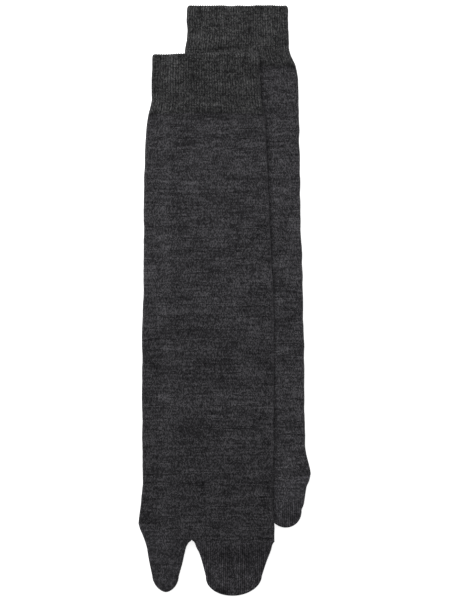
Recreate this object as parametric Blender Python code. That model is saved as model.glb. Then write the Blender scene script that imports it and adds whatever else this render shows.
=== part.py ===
"""Pair of knitted split-toe socks, laid flat with one partly over the other.

Each sock is a flattened tube of knit in five sections: a ribbed cuff, a plain leg, a plain foot, a
pocket for the big toe and a pocket for the other four. It has no heel, and the foot starts at the
ankle. The under sock lies on the surface. The over sock lies across it, and comes down to the
surface along its left side and past the under sock's toes. +Y points from the toes to the cuffs,
+X to the under sock's side, and +Z up.
"""

import math
from collections import namedtuple

import bmesh
import bpy
from mathutils import Vector

MM = 0.001

# The knit, in millimetres.
WALL = 1.55  # one layer
SLIT = 0.1  # air between the two layers of a flat sock
GAP = 0.3  # between two sections of a sock, and between the two socks
THICKNESS = 2 * WALL + SLIT
FOLD_RADIUS = THICKNESS / 2
FOLD_STEPS = 4  # flats round each side fold

# How the over sock comes down beside the under sock, in millimetres.
REST_HEIGHT = THICKNESS + GAP  # its underside where it lies on the under sock
SIDE_SHOULDER = 3.0  # how far it stays level past the under sock's left edge
TOE_SHOULDER = 8.5  # how far it stays level past the under sock's toes
RAMP = 15.0  # how far it then takes to reach the surface
RAMP_COLUMNS = 4

# Where the under sock lies, from the top centre of the over sock's cuff.
UNDER_RIGHT = 25.8
UNDER_UP = 38.5
UNDER_TURN = math.radians(0.67)

# Outline of a sock. A row is one section across the tube: how far down from the cuff's top edge
# it lies at the big toe's side, how much it leans to the toe line, from 0 to 1, and how far it
# reaches from the sock's middle line to the big toe's side and to the small toe's side.
Row = namedtuple("Row", "down lean big small")

# The toe line is where the two toe pockets start. It drops from the corner beside the big toe to
# the fork, and on to the corner beside the small toe. Each point has its reach from the middle
# line to the small toe's side, and its drop below the first corner.
ToePoint = namedtuple("ToePoint", "to_small drop")

# A pocket's end is rounded: how far down its tip lies, the middle of the tip, counted to the
# small toe's side, and the power of the round outline, which is 2 for an ellipse.
Tip = namedtuple("Tip", "down middle power")

Sock = namedtuple(
    "Sock", "name side tilt toe_line cuff leg foot big_toe four_toes big_tip four_tip"
)
# side is where the big toe lies: -1 towards -X, 1 towards +X. tilt is how much higher the cuff's
# top edge is at the small toe's side.

OVER_SOCK = Sock(
    name="over_sock",
    side=-1,
    tilt=1.5,
    toe_line=[ToePoint(-55.3, 0.0), ToePoint(-11.5, 13.8), ToePoint(56.0, 14.6)],
    cuff=[
        Row(0.0, 0, 42.4, 42.0),
        Row(0.9, 0, 43.7, 43.2),
        Row(2.8, 0, 44.2, 43.6),
        Row(14.5, 0, 44.3, 44.5),
        Row(36.0, 0, 44.5, 46.3),
        Row(43.0, 0, 45.8, 47.1),
        Row(49.4, 0, 47.2, 47.7),
    ],
    leg=[
        Row(49.4 + GAP, 0, 47.3, 47.7),
        Row(56.0, 0, 48.4, 48.2),
        Row(65.0, 0, 49.2, 48.8),
        Row(80.0, 0, 49.8, 49.4),
        Row(105.0, 0, 50.8, 50.7),
        Row(134.0, 0, 51.0, 51.9),
        Row(170.0, 0, 50.9, 53.5),
        Row(203.0, 0, 51.7, 55.0),
    ],
    foot=[
        Row(203.0 + GAP, 0, 51.7, 55.0),
        Row(244.0, 0, 52.4, 55.3),
        Row(285.0, 0, 52.3, 55.3),
        Row(326.0, 0, 52.1, 55.2),
        Row(351.0, 0, 52.1, 54.7),
        Row(366.0, 0.3, 52.9, 54.5),
        Row(378.0, 0.7, 54.3, 55.6),
        Row(386.0, 1, 55.3, 56.0),
    ],
    big_toe=[
        Row(386.0 + GAP, 1, 55.3, -12.0),
        Row(390.0, 0.86, 54.3, -13.5),
        Row(395.0, 0.68, 52.0, -15.5),
        Row(400.0, 0.48, 50.3, -16.5),
        Row(405.5, 0.28, 48.8, -17.2),
        Row(414.5, 0, 47.2, -18.5),
        Row(429.3, 0, 44.2, -22.4),
    ],
    big_tip=Tip(down=442.2, middle=-32.9, power=1.75),
    four_toes=[
        Row(386.0 + GAP, 1, 10.9, 56.0),
        Row(404.7, 0, 8.2, 53.0),
        Row(409.6, 0, 5.8, 51.9),
        Row(415.0, 0, 4.0, 50.3),
        Row(422.0, 0, 2.1, 48.1),
        Row(429.3, 0, 0.2, 45.8),
    ],
    four_tip=Tip(down=445.2, middle=21.6, power=2.0),
)

UNDER_SOCK = Sock(
    name="under_sock",
    side=1,
    tilt=0.0,
    toe_line=[ToePoint(-55.5, 0.0), ToePoint(-11.5, 12.3), ToePoint(52.7, 13.9)],
    cuff=[
        Row(0.0, 0, 39.8, 39.6),
        Row(0.9, 0, 40.9, 40.9),
        Row(2.8, 0, 41.5, 41.6),
        Row(25.0, 0, 41.4, 41.7),
        Row(34.0, 0, 42.0, 43.0),
        Row(41.0, 0, 43.4, 45.0),
        Row(49.2, 0, 46.8, 47.5),
    ],
    leg=[
        Row(49.2 + GAP, 0, 46.9, 47.6),
        Row(54.5, 0, 47.9, 48.4),
        Row(62.0, 0, 48.7, 49.1),
        Row(94.0, 0, 49.3, 49.9),
        Row(173.0, 0, 49.5, 50.8),
        Row(212.0, 0, 50.4, 51.6),
    ],
    foot=[
        Row(212.0 + GAP, 0, 50.4, 51.6),
        Row(250.0, 0, 50.8, 52.3),
        Row(285.0, 0, 51.2, 52.5),
        Row(325.0, 0, 50.9, 52.5),
        Row(359.0, 0, 51.0, 52.4),
        Row(366.0, 0.2, 51.8, 52.5),
        Row(373.0, 0.5, 53.1, 52.5),
        Row(379.0, 0.8, 54.5, 52.6),
        Row(384.2, 1, 55.5, 52.7),
    ],
    big_toe=[
        Row(384.2 + GAP, 1, 55.5, -12.0),
        Row(389.0, 0.8, 54.8, -13.2),
        Row(394.0, 0.55, 52.4, -14.5),
        Row(399.0, 0.33, 51.3, -15.8),
        Row(404.0, 0.15, 50.7, -17.3),
        Row(409.0, 0, 49.8, -18.6),
        Row(413.7, 0, 47.8, -20.2),
    ],
    big_tip=Tip(down=428.2, middle=-34.8, power=2.0),
    four_toes=[
        Row(384.2 + GAP, 1, 10.9, 52.7),
        Row(402.0, 0, 8.2, 50.4),
        Row(406.0, 0, 5.8, 49.4),
        Row(410.0, 0, 4.0, 48.0),
        Row(415.0, 0, 2.1, 46.2),
        Row(420.0, 0, 0.2, 43.8),
    ],
    four_tip=Tip(down=431.7, middle=20.5, power=2.0),
)

# Sections across a rounded tip, as shares of its length, before its end fold.
TIP_STEPS = (0.35, 0.62, 0.8)
SEAM_SHARE = 0.45  # length of the linked end seam, as a share of the section before it
WELD = 0.01  # points closer than this, in millimetres, are one
SHARP_ANGLE = math.radians(60)

TOE_COLUMNS = 5  # columns of points across a toe pocket's panels, between the side folds

# Charcoal yarn, as linear colour with alpha.
KNIT_COLOURS = {
    "cuff": (0.034, 0.034, 0.036, 1),
    "leg": (0.036, 0.035, 0.037, 1),
    "foot": (0.032, 0.031, 0.034, 1),
    "big_toe": (0.034, 0.033, 0.036, 1),
    "four_toes": (0.030, 0.029, 0.032, 1),
}
KNIT_ROUGHNESS = 0.95


def smooth_fall(past_shoulder):
    """1 up to the shoulder past an edge, then falling smoothly to 0 over the ramp."""
    share = min(max(past_shoulder / RAMP, 0), 1)
    return 1 - share * share * (3 - 2 * share)


def from_under_sock(x, down):
    """A point of the under sock, in the over sock's frame."""
    cos, sin = math.cos(UNDER_TURN), math.sin(UNDER_TURN)
    return UNDER_RIGHT + x * cos + down * sin, UNDER_UP + x * sin - down * cos


def under_sock_left(y):
    """Where the under sock's left edge lies at this height of the over sock's frame."""
    rows = UNDER_SOCK.cuff + UNDER_SOCK.leg + UNDER_SOCK.foot
    edge = [from_under_sock(-row.small, row.down) for row in rows]
    for (x_high, y_high), (x_low, y_low) in zip(edge, edge[1:]):
        if y >= y_low:
            share = min((y_high - y) / (y_high - y_low), 1)
            return x_high + share * (x_low - x_high)
    return edge[-1][0]


def lift(sock, x, y):
    """Height of the sock's underside above the surface."""
    if sock is UNDER_SOCK:
        return 0
    past_side = under_sock_left(y) - SIDE_SHOULDER - x
    past_toes = from_under_sock(0, UNDER_SOCK.four_tip.down)[1] - TOE_SHOULDER - y
    return REST_HEIGHT * smooth_fall(past_side) * smooth_fall(past_toes)


def toe_drop(line, to_small):
    """How far the toe line lies below its first corner, to_small past the middle line."""
    drop = line[0].drop
    for near, far in zip(line, line[1:]):
        share = (to_small - near.to_small) / (far.to_small - near.to_small)
        drop += (far.drop - near.drop) * min(max(share, 0), 1)
    return drop


def edges(sock, row):
    """X of a section's left and right edge."""
    return (-row.big, row.small) if sock.side < 0 else (-row.small, row.big)


def height_on_sock(sock, row, x):
    """Y of a section's point at x: a section may lean to the toe line or follow the cuff's tilt."""
    to_small = -sock.side * x
    cuff_length = sock.cuff[-1].down
    tilt = sock.tilt * max(1 - row.down / cuff_length, 0) * to_small / (row.big + row.small)
    return tilt - row.down - row.lean * toe_drop(sock.toe_line, to_small)


def tube_columns(sock, left, right, y):
    """Columns on a cuff, leg or foot: down the ramp of the over sock, at the fork and beyond it."""
    fork = -sock.side * sock.toe_line[1].to_small
    if sock is UNDER_SOCK:
        return [(left + fork) / 2, fork]
    top = under_sock_left(y) - SIDE_SHOULDER
    ramp = [top - RAMP * (1 - i / RAMP_COLUMNS) for i in range(RAMP_COLUMNS + 1)]
    return ramp + [fork, (fork + right) / 2]


def toe_columns(sock, left, right, y):
    """Columns on a toe pocket, evenly spaced."""
    return [left + (right - left) * (i + 1) / (TOE_COLUMNS + 1) for i in range(TOE_COLUMNS)]


def fold(edge, inward, half_thickness, angles):
    """(x, height) of the points round a side fold, which is half a circle."""
    return [
        (
            edge + inward * half_thickness * (1 - math.cos(angle)),
            FOLD_RADIUS + half_thickness * math.sin(angle),
        )
        for angle in angles
    ]


def section(sock, row, half_thickness, columns):
    """Points round one section: along the bottom to the right, and back along the top."""
    left, right = edges(sock, row)
    up = [math.pi * (step / FOLD_STEPS - 0.5) for step in range(FOLD_STEPS + 1)]
    inner = columns(sock, left + half_thickness, right - half_thickness, -row.down)
    bottom = [(x, FOLD_RADIUS - half_thickness) for x in inner]
    top = [(x, FOLD_RADIUS + half_thickness) for x in reversed(inner)]
    outline = bottom + fold(right, -1, half_thickness, up)
    outline += top + fold(left, 1, half_thickness, reversed(up))
    points = []
    for x, z in outline:
        y = height_on_sock(sock, row, x)
        points.append(Vector((x, y, z + lift(sock, x, y))) * MM)
    return points


def tip_rows(last, tip, radius):
    """Sections of a pocket's rounded tip after its last full section, each with its half thickness."""
    length = tip.down - last.down
    half_width = (last.big + last.small) / 2
    last_middle = (last.small - last.big) / 2
    stations = [(share * length, radius) for share in TIP_STEPS]
    for step in range(FOLD_STEPS // 2):
        angle = math.pi * step / FOLD_STEPS
        stations.append((length - radius * (1 - math.sin(angle)), radius * math.cos(angle)))
    rows = []
    for along, half_thickness in stations:
        share = along / length
        half = half_width * (1 - share**tip.power) ** (1 / tip.power)
        middle = last_middle + share * (tip.middle - last_middle)
        rows.append((Row(last.down + along, 0, half - middle, half + middle), half_thickness))
    seam = half * SEAM_SHARE
    rows.append((Row(tip.down, 0, seam - tip.middle, seam + tip.middle), 0))
    return rows


def skin_rings(sock, rows, tip, inset):
    """Rings of a tube's outer skin, or of its inner skin, which is inset by the wall."""
    rows = [row._replace(big=row.big - inset, small=row.small - inset) for row in rows]
    stations = [(row, FOLD_RADIUS - inset) for row in rows]
    if tip:
        tip = tip._replace(down=tip.down - inset)
        stations += tip_rows(rows[-1], tip, FOLD_RADIUS - inset)
    columns = toe_columns if tip else tube_columns
    return [section(sock, row, half, columns) for row, half in stations]


def loft(mesh, rings):
    """Faces between each two neighbouring rings of points."""
    for ring, next_ring in zip(rings, rings[1:]):
        for i in range(len(ring)):
            j = (i + 1) % len(ring)
            mesh.faces.new((ring[i], ring[j], next_ring[j], next_ring[i]))


def knitted_tube(name, sock, rows, tip=None):
    """A flattened tube with a wall of one layer. It is open at both ends, or at one if it has a tip."""
    tube = bmesh.new()
    outer, inner = (
        [[tube.verts.new(point) for point in ring] for ring in skin_rings(sock, rows, tip, inset)]
        for inset in (0, WALL)
    )
    up_the_inside = inner[::-1]
    under_the_lower_rim = [] if tip else [inner[-1]]
    loft(tube, up_the_inside + outer + under_the_lower_rim)
    bmesh.ops.remove_doubles(tube, verts=tube.verts, dist=WELD * MM)
    mesh = bpy.data.meshes.new(name)
    tube.to_mesh(mesh)
    tube.free()
    mesh.shade_smooth()
    mesh.set_sharp_from_angle(angle=SHARP_ANGLE)
    return bpy.data.objects.new(name, mesh)


def knit_material(section_name):
    """Matt charcoal yarn for one kind of section."""
    material = bpy.data.materials.new("knit_" + section_name)
    material.use_nodes = True
    shader = material.node_tree.nodes["Principled BSDF"]
    shader.inputs["Base Color"].default_value = KNIT_COLOURS[section_name]
    shader.inputs["Roughness"].default_value = KNIT_ROUGHNESS
    shader.inputs["Metallic"].default_value = 0
    material.diffuse_color = KNIT_COLOURS[section_name]
    return material


def make_sock(sock, materials, collection, pair):
    """The five sections of a sock, on an empty at the top centre of its cuff."""
    frame = bpy.data.objects.new(sock.name, None)
    frame.parent = pair
    collection.objects.link(frame)
    sections = {
        "cuff": (sock.cuff, None),
        "leg": (sock.leg, None),
        "foot": (sock.foot, None),
        "big_toe": (sock.big_toe, sock.big_tip),
        "four_toes": (sock.four_toes, sock.four_tip),
    }
    for section_name, (rows, tip) in sections.items():
        tube = knitted_tube(f"{sock.name}_{section_name}", sock, rows, tip)
        tube.data.materials.append(materials[section_name])
        tube.parent = frame
        collection.objects.link(tube)
    return frame


def centre_on_origin(pair, collection):
    """Moves the pair so that the middle of its box lies over the origin."""
    bpy.context.view_layer.update()
    points = [
        tube.matrix_world @ vertex.co
        for tube in collection.objects
        if tube.type == "MESH"
        for vertex in tube.data.vertices
    ]
    for axis in range(2):
        reach = [point[axis] for point in points]
        pair.location[axis] = -(min(reach) + max(reach)) / 2


def main():
    for thing in list(bpy.data.objects):
        bpy.data.objects.remove(thing)
    collection = bpy.data.collections.new("pair_of_knit_socks")
    bpy.context.scene.collection.children.link(collection)
    pair = bpy.data.objects.new("pair", None)
    collection.objects.link(pair)
    materials = {name: knit_material(name) for name in KNIT_COLOURS}
    make_sock(OVER_SOCK, materials, collection, pair)
    under = make_sock(UNDER_SOCK, materials, collection, pair)
    under.location = (UNDER_RIGHT * MM, UNDER_UP * MM, 0)
    under.rotation_euler.z = UNDER_TURN
    centre_on_origin(pair, collection)


main()
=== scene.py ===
"""Looks of a pair of knitted split-toe socks, laid flat with one partly over the other.

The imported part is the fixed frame. Each of its sections is stood for by a piece of cloth with a
rolled side fold, soft ripples, real ribs on the cuffs and a melange knit. Lengths are in
millimetres until a piece is made. Along a sock, "down" counts from the cuff's top edge to the toes,
and "across" from the middle line to the small toe's side.
"""

import math
from collections import namedtuple

import bpy
import numpy as np
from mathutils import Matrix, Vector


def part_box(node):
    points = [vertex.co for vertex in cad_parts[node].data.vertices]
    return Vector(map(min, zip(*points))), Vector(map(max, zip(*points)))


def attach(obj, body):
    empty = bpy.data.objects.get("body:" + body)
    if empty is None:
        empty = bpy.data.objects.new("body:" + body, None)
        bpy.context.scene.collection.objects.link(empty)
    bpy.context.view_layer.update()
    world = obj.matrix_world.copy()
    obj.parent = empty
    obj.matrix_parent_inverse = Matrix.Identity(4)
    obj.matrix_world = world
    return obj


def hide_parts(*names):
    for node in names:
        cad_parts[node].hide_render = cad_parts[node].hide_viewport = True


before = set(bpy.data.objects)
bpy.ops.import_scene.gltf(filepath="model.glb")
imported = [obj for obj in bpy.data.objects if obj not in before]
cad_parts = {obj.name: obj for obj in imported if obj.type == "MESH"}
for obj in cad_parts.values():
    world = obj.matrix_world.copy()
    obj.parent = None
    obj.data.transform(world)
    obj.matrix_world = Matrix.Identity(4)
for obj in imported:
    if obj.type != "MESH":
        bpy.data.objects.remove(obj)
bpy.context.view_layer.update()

bl_info = {
    "name": "Pair of knit socks",
    "version": (1, 0, 0),
    "blender": (4, 5, 0),
    "location": "3D View > Sidebar > Knit socks",
    "description": "Makes a pair of split-toe knit socks laid flat, and a plain studio",
    "category": "Object",
}

MM = 0.001
FAR = 1e6
SAME_PLACE = 1e-7  # metres between points that count as one
SMALLEST = 1e-12  # keeps a division by a length from failing

# The cloth and how the over sock lies, as in the part's frame.
WALL = 1.55
FOLD_RADIUS = 1.6
REST_HEIGHT = 3.5
CLEARANCE = 0.1  # more than the rest height, so that the socks don't touch
SIDE_SHOULDER = 3.0
TOE_SHOULDER = 8.5
RAMP = 15.0
UNDER_RIGHT, UNDER_UP, UNDER_TURN = 25.8, 38.5, math.radians(0.67)

# The knit: needles across one face of the flat tube, and the height of a course.
WALES = 84
TOE_WALES = 64  # the toe pockets are knitted with fewer, wider wales
BELOW_WALES = 3 * WALES + 0.5  # where the lower layer's wales are counted back from
COURSE = 0.9

# How finely a piece is divided: steps round a side fold, columns on each side of the fork, and
# millimetres from ring to ring.
FOLD_STEPS, RIB_FOLD_STEPS = 8, 18
BIG_COLUMNS, FOUR_COLUMNS = 28, 36
RIB_COLUMNS = (112, 140)
RIB_RING, PLAIN_RING, INSIDE_RING = 1.1, 2.2, 9.0
POCKET_RING, INSIDE_POCKET_RING = 1.3, 5.0
TIP_STEPS, LIP_STEPS = 26, 8

# The outline.
FUZZ = 0.25  # how far loose fibres widen a sock at each side
NARROWEST = 0.3  # between a pocket's two folds at its very tip
TIP_ANGLE = math.radians(88)  # how far round its tip a pocket's last ring is
THINNEST = 0.05  # the least square of a tip's share of the full thickness
FORK_TURN = 5.0  # how far down a pocket its inner fold turns from facing the toes to sideways
FORK_PULL, FORK_WIDTH = FOLD_RADIUS + 0.9, 4.0  # how the fork draws the toe line up beside it
SIDE_WOBBLE, WOBBLE_START, WOBBLE_END = 0.4, (3, 12), 425  # how uneven a side is, and where
RIB_END = 3.5  # over which the ribs run out at the cuff's lower end
TOP_EDGE = 6.0  # below the top edge, how far its unevenness reaches
RIB_SCALLOP, TOP_WOBBLE = 0.22, 0.3  # how far the ribs and the unevenness move the top edge

# Ripples: a number of their own for the random draws, shortest and longest wave, and their count.
Waves = namedtuple("Waves", "draw shortest longest count", defaults=(18,))
WAVE_SPREAD = 2.2  # standard deviations that stand for 1
SOFT_RIPPLES = Waves(0, 22, 75)
TOP_EDGE_WAVES = Waves(3, 7, 22)
FINE_RIPPLES = Waves(5, 5, 16)
ROLL_WAVES = Waves(7, 20, 60)
CUFF_GATHERS = Waves(9, 4, 10)
MOUTH_WAVES = Waves(13, 14, 50)
SEAM_GATHERS = Waves(17, 2.4, 6)
BIG_SIDE_WAVES, FOUR_SIDE_WAVES = Waves(100, 5, 26, 14), Waves(200, 5, 26, 14)

# Forms of the upper layer. A fade gives where a form starts and where it is full, from the nearest
# side fold or tip.
RIPPLE_FADE, CREASE_FADE = (0.5, 9), (0.5, 4)
FINE_HEIGHT, LEAST_RISE, LOWEST = 0.12, 0.1, -0.1
ROLL_MEAN, ROLL_VARIES, ROLL_INSET, ROLL_WIDTH = 0.75, 0.35, 2.4, 2.1
TROUGH_DEPTH, TROUGH_BELOW, TROUGH_WIDTH, TROUGH_FADE = 0.4, 1.5, 2.0, (0, 6)
GATHER_HEIGHT, GATHER_START, GATHER_LENGTH = 0.16, (0, 3), 9
MOUTH_HEIGHT, MOUTH_VARIES, MOUTH_LENGTH = 0.45, 0.4, 4.0
SEAM_HEIGHT, SEAM_INSET, SEAM_WIDTH, SEAM_END = 0.4, 3.2, 0.7, (0.75, 1.0)
SEAM_GATHER_WIDTH = 4.0
STROKE_BEND, STROKE_SWING = 0.25, 0.45  # of a stroke's width, and of its length
# The lower layer gets only a share of the painted light and shade, and of the yarn's tone.
PAINTED_LIGHT_AND_TONE_BELOW = 0.3  # how much of the darker and lighter places the lower layer has

# The bake's map: margins, and the share that the inside of a sock gets.
SIDE_MARGIN, END_MARGIN, GUTTER = 0.004, 0.003, 0.01
INSIDE_SHARE, INSIDE_LEAST = 0.12, 0.4
NARROWEST_PANEL = 20.0
STACKED_FROM = 0.8  # width of a section, as a share of its length

# side: -1 where the small toe lies to the right, and 1 to the left. tilt: how much higher the top
# edge is at the small toe's side. mouth: how far it stands up, and how much more for each
# millimetre across. toe_line: places across, and how far below toe_start it lies there.
# Tube rows: down, lean (how far a ring follows the toe line), reach to the big toe's side, and to
# the small toe's side. Pocket rows: down, lean, outer edge across, inner edge across.
# Tip: where a pocket ends, its middle across, and how square its end is.
Sock = namedtuple(
    "Sock",
    "name side tilt mouth toe_line tube cuff_end ankle toe_start"
    " big_toe four_toes big_tip four_tip seed",
)
Tip = namedtuple("Tip", "down middle power")

OVER_SOCK = Sock(
    name="over_sock",
    side=-1,
    tilt=1.5,
    mouth=(0, 0),
    toe_line=((-55.3, -11.5, 56), (0, 13.8, 14.6)),
    tube=(
        (0, 0, 42.4, 42),
        (0.9, 0, 43.7, 43.2),
        (2.8, 0, 44.2, 43.6),
        (14.5, 0, 44.3, 43.7),
        (36, 0, 44.5, 44.9),
        (43, 0, 45.8, 46),
        (49.4, 0, 47.2, 47.7),
        (56, 0, 48.4, 48.2),
        (65, 0, 49.2, 48.8),
        (80, 0, 49.8, 49.4),
        (105, 0, 50.8, 50.7),
        (134, 0, 51, 51.9),
        (170, 0, 50.9, 53.5),
        (203, 0, 51.7, 55),
        (244, 0, 52.4, 55.3),
        (285, 0, 52.3, 55.3),
        (326, 0, 52.1, 55.2),
        (351, 0, 52.1, 54.7),
        (366, 0.3, 52.9, 54.5),
        (378, 0.7, 54.3, 55.6),
        (386, 1, 55.3, 56),
    ),
    cuff_end=49.4,
    ankle=203,
    toe_start=386,
    big_toe=(
        (390, 0.86, -54.3, -13.5),
        (395, 0.68, -52, -15.5),
        (400, 0.48, -50.3, -16.5),
        (405.5, 0.28, -48.8, -17.2),
        (414.5, 0, -47.2, -18.5),
        (429.3, 0, -44.2, -22.4),
    ),
    big_tip=Tip(442.2, -32.9, 1.75),
    four_toes=(
        (391, 0.681, 56.1, -10.7),
        (396.3, 0.314, 55.8, -9.9),
        (404.7, 0, 54, -8.2),
        (409.6, 0, 52.3, -5.8),
        (415, 0, 50.3, -4),
        (422, 0, 48.1, -2.1),
        (429.3, 0, 45.8, -0.2),
    ),
    four_tip=Tip(445.2, 21.6, 2),
    seed=11,
)

UNDER_SOCK = Sock(
    name="under_sock",
    side=1,
    tilt=0,
    mouth=(0.8, 0.01),
    toe_line=((-55.5, -11.5, 52.7), (0, 12.3, 13.9)),
    tube=(
        (0, 0, 39.8, 39.6),
        (0.9, 0, 40.9, 40.9),
        (2.8, 0, 41.5, 41.6),
        (25, 0, 41.4, 41.7),
        (34, 0, 42, 43),
        (41, 0, 43.4, 45),
        (49.2, 0, 46.8, 47.5),
        (54.5, 0, 47.9, 48.4),
        (62, 0, 48.7, 49.1),
        (94, 0, 49.3, 49.9),
        (173, 0, 49.5, 50.8),
        (212, 0, 50.4, 51.6),
        (250, 0, 50.8, 52.3),
        (285, 0, 51.2, 52.5),
        (325, 0, 50.9, 52.5),
        (359, 0, 51, 52.4),
        (366, 0.2, 51.8, 52.5),
        (373, 0.5, 53.1, 52.5),
        (379, 0.8, 54.5, 52.6),
        (384.2, 1, 55.5, 52.7),
    ),
    cuff_end=49.2,
    ankle=212,
    toe_start=384.2,
    big_toe=(
        (389, 0.8, -54.8, -13.2),
        (394, 0.55, -52.4, -14.5),
        (399, 0.33, -51.3, -15.8),
        (404, 0.15, -50.7, -17.3),
        (409, 0, -49.8, -18.6),
        (413.7, 0, -47.8, -20.2),
    ),
    big_tip=Tip(428.2, -34.8, 2),
    four_toes=(
        (402, 0, 50.4, -8.2),
        (406, 0, 49.4, -5.8),
        (410, 0, 48, -4),
        (415, 0, 46.2, -2.1),
        (420, 0, 43.8, -0.2),
    ),
    four_tip=Tip(431.7, 20.5, 2),
    seed=29,
)

# Where the top centre of the over sock's cuff lies: its four-toe pocket gives the toes' end, and
# its cuff's lower end the right side.
CUFF_REACH = 47.7
PLACE = (
    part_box("over_sock_cuff")[1].x / MM - CUFF_REACH,
    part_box("over_sock_four_toes")[0].y / MM + OVER_SOCK.four_tip.down,
)

# Creases, given one by one: across, down, turn in degrees from straight down, half length, half
# width, and height, which is below 0 for a trough.
CREASES = {
    "over_sock": (
        (-43, 216, 88, 8, 1.1, 0.35),
        (-40, 239, 80, 9, 1.6, -0.25),
        (38, 128, 70, 12, 2.4, -0.3),
        (8, 300, 60, 26, 4, -0.3),
        (-20, 345, 75, 20, 3, 0.3),
        (32, 415, 40, 13, 3.4, -0.6),
        (14, 436, 15, 6, 2, -0.5),
        (-40, 408, 25, 12, 2.6, -0.3),
        (2, 420, -12, 10, 1.6, 0.3),
        (39.5, 22, 2, 22, 3.4, 0.8),
        (34, 4, 88, 9, 3.5, 0.5),
    ),
    "under_sock": (
        (-19.9, 18, 2, 15, 1.5, -0.45),
        (-40, 57, 80, 9, 1.8, -0.3),
        (-42, 150, 10, 22, 2.4, 0.25),
        (-38, 300, -15, 24, 3, -0.3),
        (-44, 398, 70, 9, 2, -0.4),
        (20, 200, 50, 30, 5, 0.3),
        (6, 34.4, 86, 8, 1.3, -0.7),
    ),
}

# Painted light and shade, with some of the yarn's own tone: where the cloth is darker, or lighter
# below 0: across, down, turn in degrees from straight down, half length, half width, and share.
# Most strokes paint light: a fall of light from the cuffs to the toes, painted shadow in creases,
# beside the over sock's cuff and at the toe tips, painted highlights on side folds and top edges,
# and lighter cloth that eases the shadow beside the over sock's fold.
# The first of each sock darkens the courses that end its cuff.
PAINTED_LIGHT_AND_TONE_STROKES = {
    "over_sock": (
        (0, 51.2, 90, 300, 3.4, 0.22),
        (0, 57.5, 90, 300, 1.6, -0.06),
        (37, 4, 90, 9, 4.5, -0.35),
        (43.2, 24, 0, 20, 1.6, -0.14),
        (44, 16, 0, 60, 0.8, -0.05),
        (-50, 130, 0, 120, 3.4, -0.14),
        (0, 0.6, 90, 300, 2.2, -0.16),
        (0, 22, 90, 300, 22, 0.08),
        (0, 187, 90, 300, 14, -0.06),
        (0, 246, 90, 300, 24, 0.1),
        (0, 350, 90, 300, 60, 0.12),
        (52.8, 120, 2.65, 85, 1.5, -0.2),
        (54.7, 300, 0, 110, 1.5, -0.2),
        (55.8, 300, 0, 110, 0.8, -0.24),
        (0, 286, 90, 300, 9, -0.08),
        (8, 388, 90, 20, 3, 0.12),
        (-38, 386, 80, 16, 2.4, 0.2),
        (32, 417, 40, 15, 5, 0.15),
        (13, 440.8, 90, 6.5, 2.4, 0.55),
        (-30, 438, 90, 16, 3.5, 0.12),
        (-36, 410, 20, 14, 5, -0.12),
    ),
    "under_sock": (
        (0, 49.5, 90, 300, 4.3, 0.4),
        (0, 57.2, 90, 300, 2.8, -0.14),
        (-33.5, 40, 88, 11, 1.6, 0.08),
        (-33.5, 41.5, 90, 13, 6.5, 0.09),
        (-28.5, 250, 0, 170, 2.4, -0.22),
        (0, 0.8, 90, 300, 2.2, -0.1),
        (10, 33.6, 88, 12, 1.4, 0.45),
        (-20, 16, 2, 16, 1.8, 0.18),
        (-49, 240, 0, 150, 3.4, -0.1),
        (0, 250, 0, 300, 90, -0.13),
        (0, 392, 90, 60, 17, -0.12),
        (-36.4, 379, 86, 12, 4.5, -0.13),
        (-44.6, 383.6, 95, 6, 1.2, 0.25),
        (-30.4, 398, 90, 9, 4, -0.1),
        (-33, 421, 90, 22, 9, 0.1),
    ),
}

# How far the shade of the yarn runs along the wales: on the ribs, and on each toe pocket with the
# places down between which it grows.
CUFF_UPRIGHT = 0.55
UPRIGHT = {
    "over_sock": {"big_toe": (0.15, 398, 404), "four_toes": (1, 400, 406)},
    "under_sock": {"big_toe": (0.9, 402, 410), "four_toes": (1, 400, 406)},
}

# Each section and its material slot in the record.
SECTIONS = {
    "cuff": "cuff_rib",
    "leg": "plain_knit",
    "foot": "plain_knit",
    "big_toe": "big_toe_knit",
    "four_toes": "four_toes_knit",
}
TUBES = ("cuff", "leg", "foot")


def settings():
    """The values set in the sidebar."""
    return bpy.context.scene.knit_socks


# --- Shape ---


def smoothly(low, high, value):
    """0 up to low, 1 from high, and a smooth rise between them."""
    share = np.clip((value - low) / (high - low), 0, 1)
    return share * share * (3 - 2 * share)


def through(rows, column, at):
    """A smooth line through one column of a table, read at these places down."""
    places = np.array([row[0] for row in rows], float)
    values = np.array([row[column] for row in rows], float)
    slopes = np.diff(values) / np.diff(places)
    before, after = slopes[:-1], slopes[1:]
    rising = before * after > 0
    inside = np.where(rising, 2 * before * after / np.where(rising, before + after, 1), 0)
    tangents = np.concatenate([slopes[:1], inside, slopes[-1:]])
    at = np.asarray(at, float)
    i = np.clip(np.searchsorted(places, at) - 1, 0, len(slopes) - 1)
    width = places[i + 1] - places[i]
    t = (at - places[i]) / width
    return (
        values[i] * (1 + 2 * t) * (1 - t) ** 2
        + values[i + 1] * t * t * (3 - 2 * t)
        + width * tangents[i] * t * (1 - t) ** 2
        - width * tangents[i + 1] * t * t * (1 - t)
    )


def bell(distance, width):
    """1 at no distance, and a soft fall on both sides."""
    return np.exp(-((distance / width) ** 2))


def waves(sock, kind, x, y=0.0):
    """Ripples between -1 and 1, the same each time for a sock and a kind."""
    draw = np.random.default_rng(sock.seed + kind.draw)
    total = np.zeros(np.broadcast(x, y).shape)
    power = 0
    for _ in range(kind.count):
        length = kind.shortest * (kind.longest / kind.shortest) ** draw.random()
        turn, start = draw.random(2) * 2 * math.pi
        size = length / kind.longest
        step = 2 * math.pi / length
        total += size * np.sin(step * (x * math.cos(turn) + y * math.sin(turn)) + start)
        power += size * size
    return np.clip(total / (WAVE_SPREAD * math.sqrt(power / 2)), -1, 1)


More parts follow.
